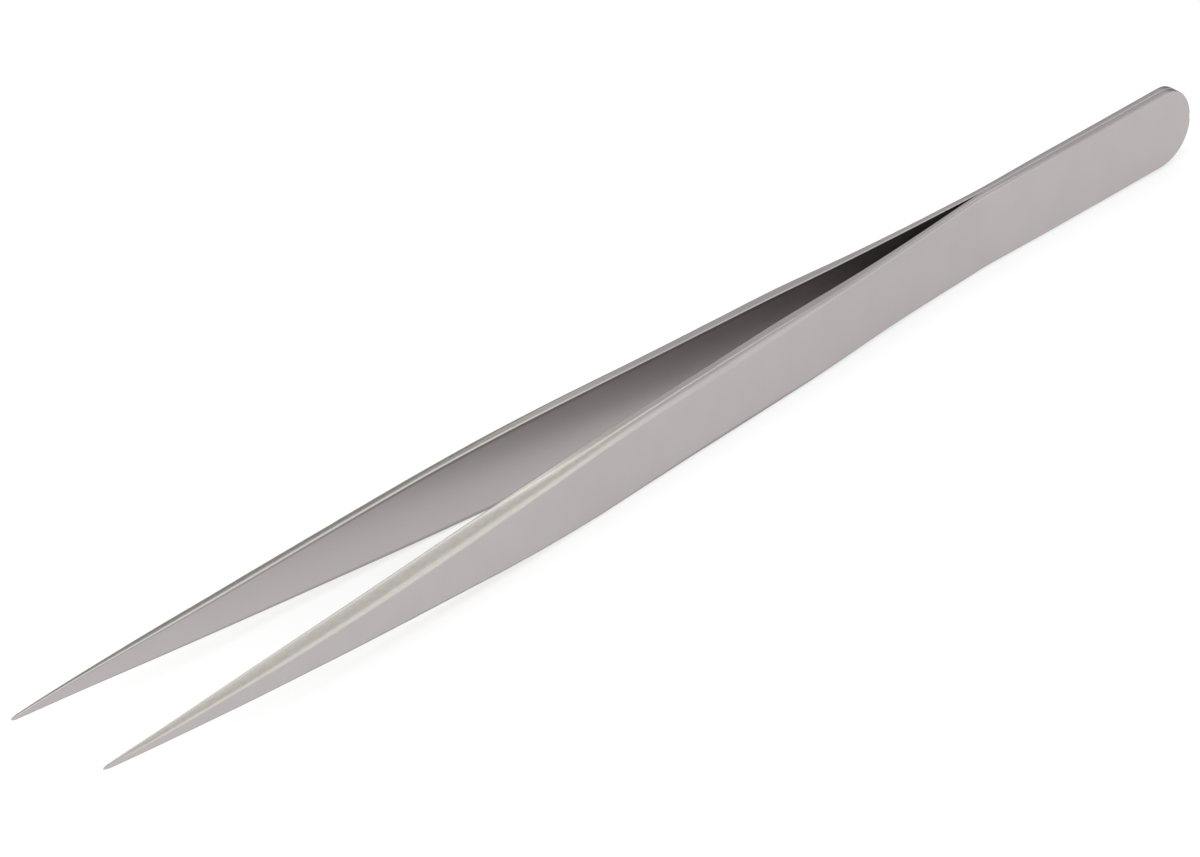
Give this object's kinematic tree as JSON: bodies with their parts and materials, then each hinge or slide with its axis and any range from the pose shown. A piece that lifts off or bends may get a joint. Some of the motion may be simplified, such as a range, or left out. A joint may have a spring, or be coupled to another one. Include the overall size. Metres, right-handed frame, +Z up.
{
  "type": "non-magnetic tweezers",
  "caption": "Slim non-magnetic steel tweezers: mirror-image spring leaves welded at the round tail, bowed apart and ground to fine straight points.",
  "frame": {"origin": "centre of the object's footprint, on the surface that the lower edges of the leaves stand on", "axes": "+X from the tips to the welded tail, along the tweezers; +Y from the front leaf to the rear leaf, across the gap, with Y = 0 as the plane of symmetry; +Z up, across the width of the leaves"},
  "size_m": [0.14, 0.012, 0.0077],
  "materials": {
    "satin_steel": "satin, brushed along the length, with ground and lightly polished bevels"
  },
  "bodies": {
    "root": {"front_leaf": "satin_steel", "rear_leaf": "satin_steel"}
  },
  "joints": []
}
